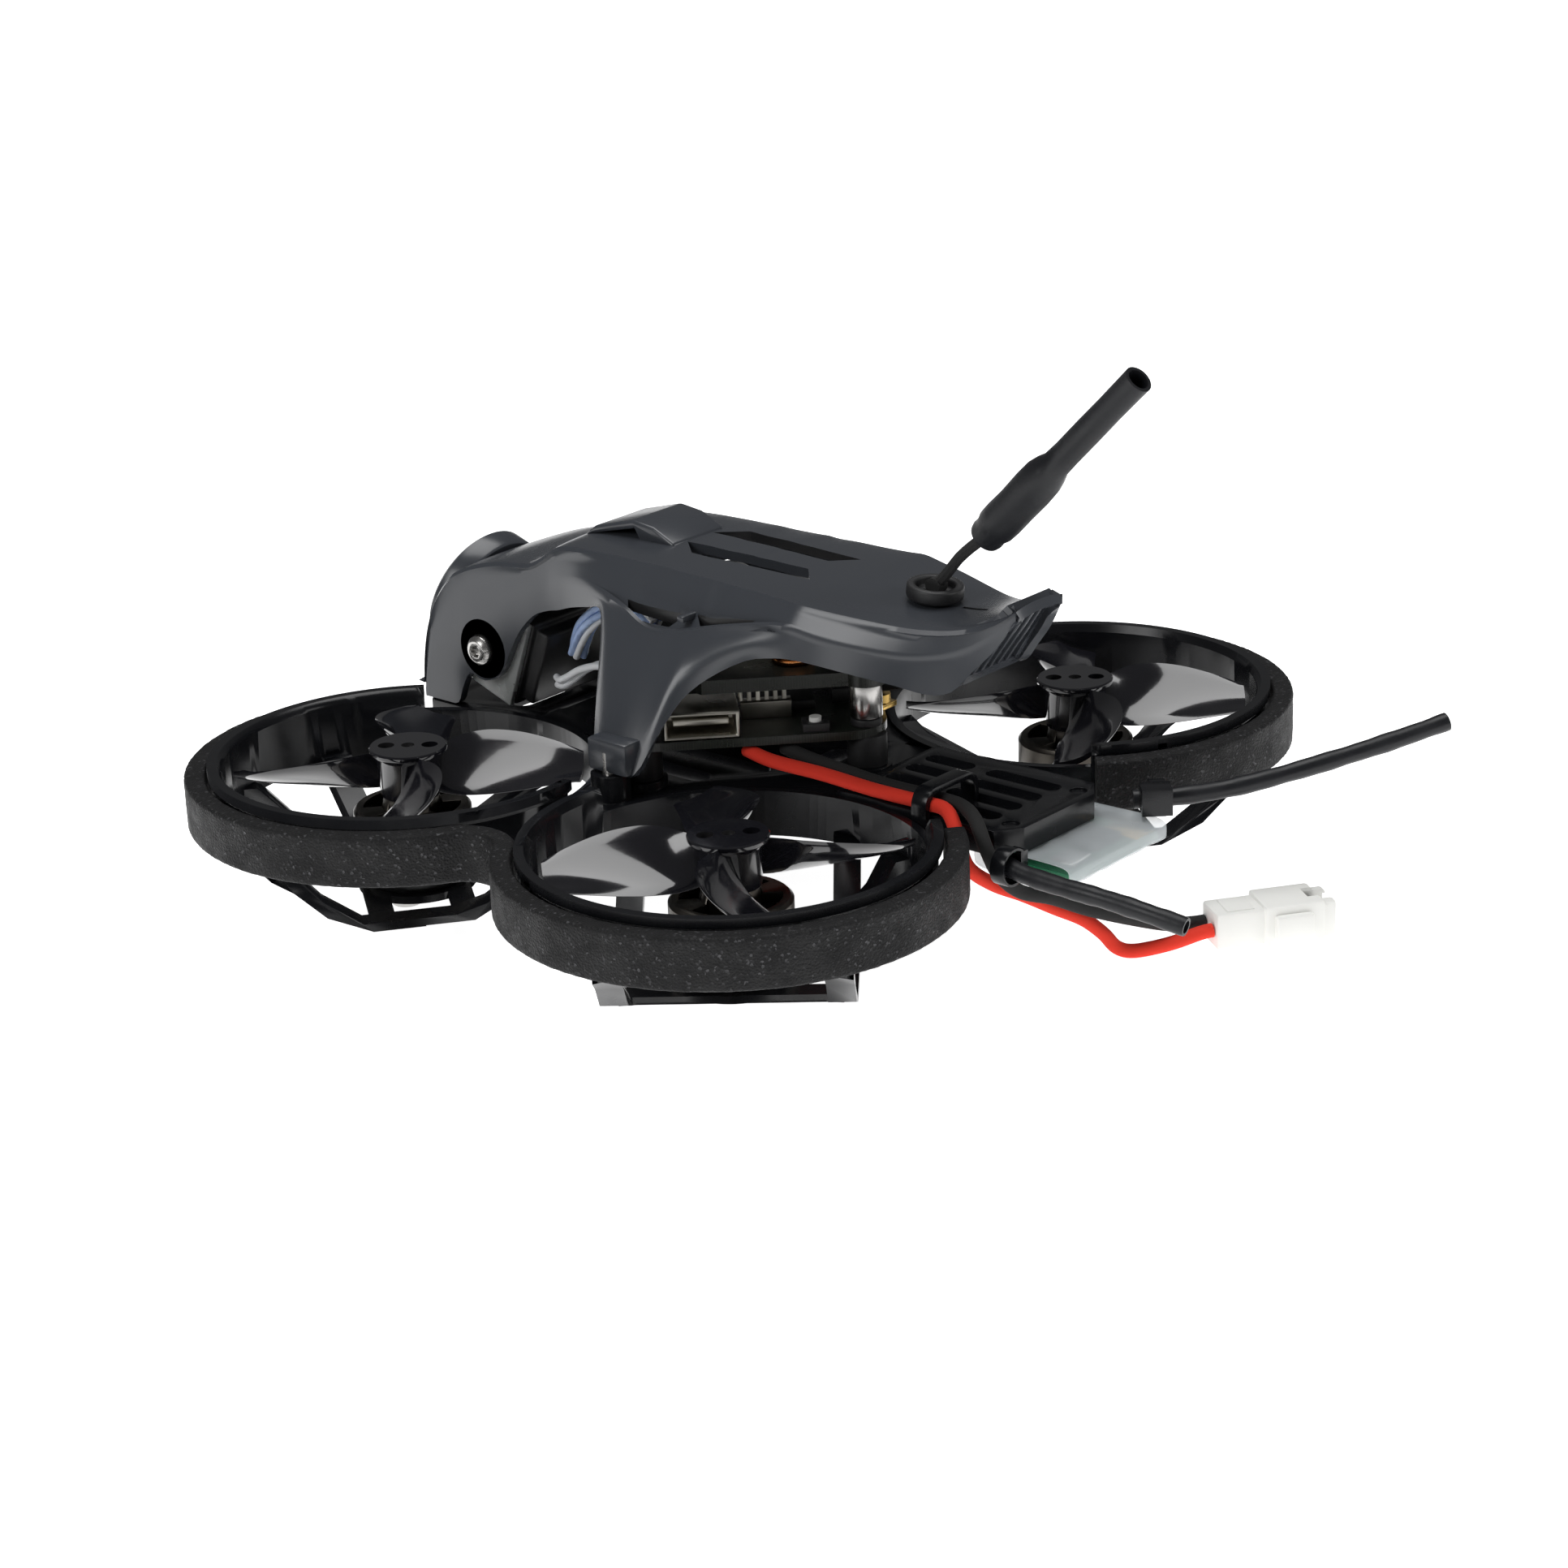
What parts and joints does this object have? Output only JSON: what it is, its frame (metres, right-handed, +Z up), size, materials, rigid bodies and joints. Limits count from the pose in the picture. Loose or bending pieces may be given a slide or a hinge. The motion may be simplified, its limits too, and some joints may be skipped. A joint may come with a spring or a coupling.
{
  "type": "fpv racing drone",
  "caption": "Small ducted racing drone with foam bumpers, a canopy over stacked boards, a tilting nose camera, a tail antenna and a battery lead.",
  "frame": {"origin": "on the battery seat, the underside of the centre plate, midway between the four motors", "axes": "+X to the nose, +Y to the left side, +Z up"},
  "size_m": [0.1196, 0.1134, 0.0678],
  "materials": {
    "moulded_black": "satin injection-moulded black",
    "canopy_slate": "semi-gloss slate black",
    "foam": "closed-cell foam, fine open grain",
    "propeller": "glossy black",
    "steel": "nickel-plated",
    "bell": "dark anodised, machined",
    "copper": "enamelled copper wire",
    "magnet": "nickel-plated",
    "board": "black solder mask, olive edge",
    "chip": "moulded epoxy",
    "tin": "stamped tin",
    "gold": "gold plated",
    "rubber": "soft black rubber",
    "sleeve_black": "shrunk tubing, matt",
    "lead_red": "silicone insulation",
    "lead_black": "silicone insulation",
    "nylon_white": "translucent nylon",
    "clear_sleeve": "clear shrunk film",
    "receiver_green": "green solder mask",
    "side_plate": "smoky translucent plastic",
    "lens_glass": "coated glass",
    "camera_wire": "pale blue insulation",
    "nylon_black": "nylon"
  },
  "bodies": {
    "airframe": {"centre_frame": "moulded_black", "duct_front_left": "moulded_black", "duct_front_right": "moulded_black", "duct_rear_left": "moulded_black", "duct_rear_right": "moulded_black", "foam_bumper_left": "foam", "foam_bumper_right": "foam", "canopy": "canopy_slate", "canopy_screws": "steel", "motor_stators": "moulded_black", "motor_windings": "copper", "motor_screws": "steel", "motor_leads": "lead_black", "flight_controller_board": "board", "flight_controller_chips": "chip", "usb_port": "tin", "pin_header": "tin", "rubber_dampers": "rubber", "stack_screws": "steel", "video_transmitter_board": "board", "video_transmitter_shield": "tin", "inductor": "copper", "antenna_socket": "gold", "antenna_coax": "lead_black", "antenna_grommet": "rubber", "receiver_board": "receiver_green", "receiver_sleeve": "clear_sleeve", "receiver_antenna_left": "sleeve_black", "receiver_antenna_right": "sleeve_black", "zip_ties": "nylon_black", "battery_lead_red": "lead_red", "battery_lead_black": "lead_black", "battery_plug": "nylon_white", "battery_plug_pins": "steel", "camera_wires": "camera_wire", "camera_cable": "nylon_white"},
    "camera": {"camera_case": "chip", "camera_side_plates": "side_plate", "camera_lens": "chip", "camera_glass": "lens_glass", "camera_screws": "steel"},
    "video_antenna": {"video_antenna_stem": "lead_black", "video_antenna_sleeve": "sleeve_black"},
    "boot_button": {"boot_button": "nylon_white"},
    "rotor_front_left": {"motor_bell_front_left": "bell", "motor_magnets_front_left": "magnet", "motor_shaft_front_left": "steel", "propeller_front_left": "propeller"},
    "rotor_front_right": {"motor_bell_front_right": "bell", "motor_magnets_front_right": "magnet", "motor_shaft_front_right": "steel", "propeller_front_right": "propeller"},
    "rotor_rear_left": {"motor_bell_rear_left": "bell", "motor_magnets_rear_left": "magnet", "motor_shaft_rear_left": "steel", "propeller_rear_left": "propeller"},
    "rotor_rear_right": {"motor_bell_rear_right": "bell", "motor_magnets_rear_right": "magnet", "motor_shaft_rear_right": "steel", "propeller_rear_right": "propeller"}
  },
  "joints": [
    {"name": "rotor_front_left_spin", "type": "hinge", "parent": "airframe", "child": "rotor_front_left", "pos_m": [0.02432, 0.03113, 0], "axis": [0, 0, 1], "continuous": true},
    {"name": "rotor_front_right_spin", "type": "hinge", "parent": "airframe", "child": "rotor_front_right", "pos_m": [0.02432, -0.03113, 0], "axis": [0, 0, 1], "continuous": true},
    {"name": "rotor_rear_left_spin", "type": "hinge", "parent": "airframe", "child": "rotor_rear_left", "pos_m": [-0.02432, 0.03113, 0], "axis": [0, 0, 1], "continuous": true},
    {"name": "rotor_rear_right_spin", "type": "hinge", "parent": "airframe", "child": "rotor_rear_right", "pos_m": [-0.02432, -0.03113, 0], "axis": [0, 0, 1], "continuous": true},
    {"name": "camera_tilt", "type": "hinge", "parent": "airframe", "child": "camera", "pos_m": [0.0338, 0, 0.0097], "axis": [0, 1, 0], "range_deg": [-10, 10]},
    {"name": "antenna_bend", "type": "hinge", "parent": "airframe", "child": "video_antenna", "pos_m": [-0.0286, 0, 0.0262], "axis": [0, 1, 0], "range_deg": [-15, 20]},
    {"name": "boot_button_press", "type": "slide", "parent": "airframe", "child": "boot_button", "axis": [0, 0, -1], "range_m": [0, 0.00025], "stiffness_N_per_m": 400}
  ]
}
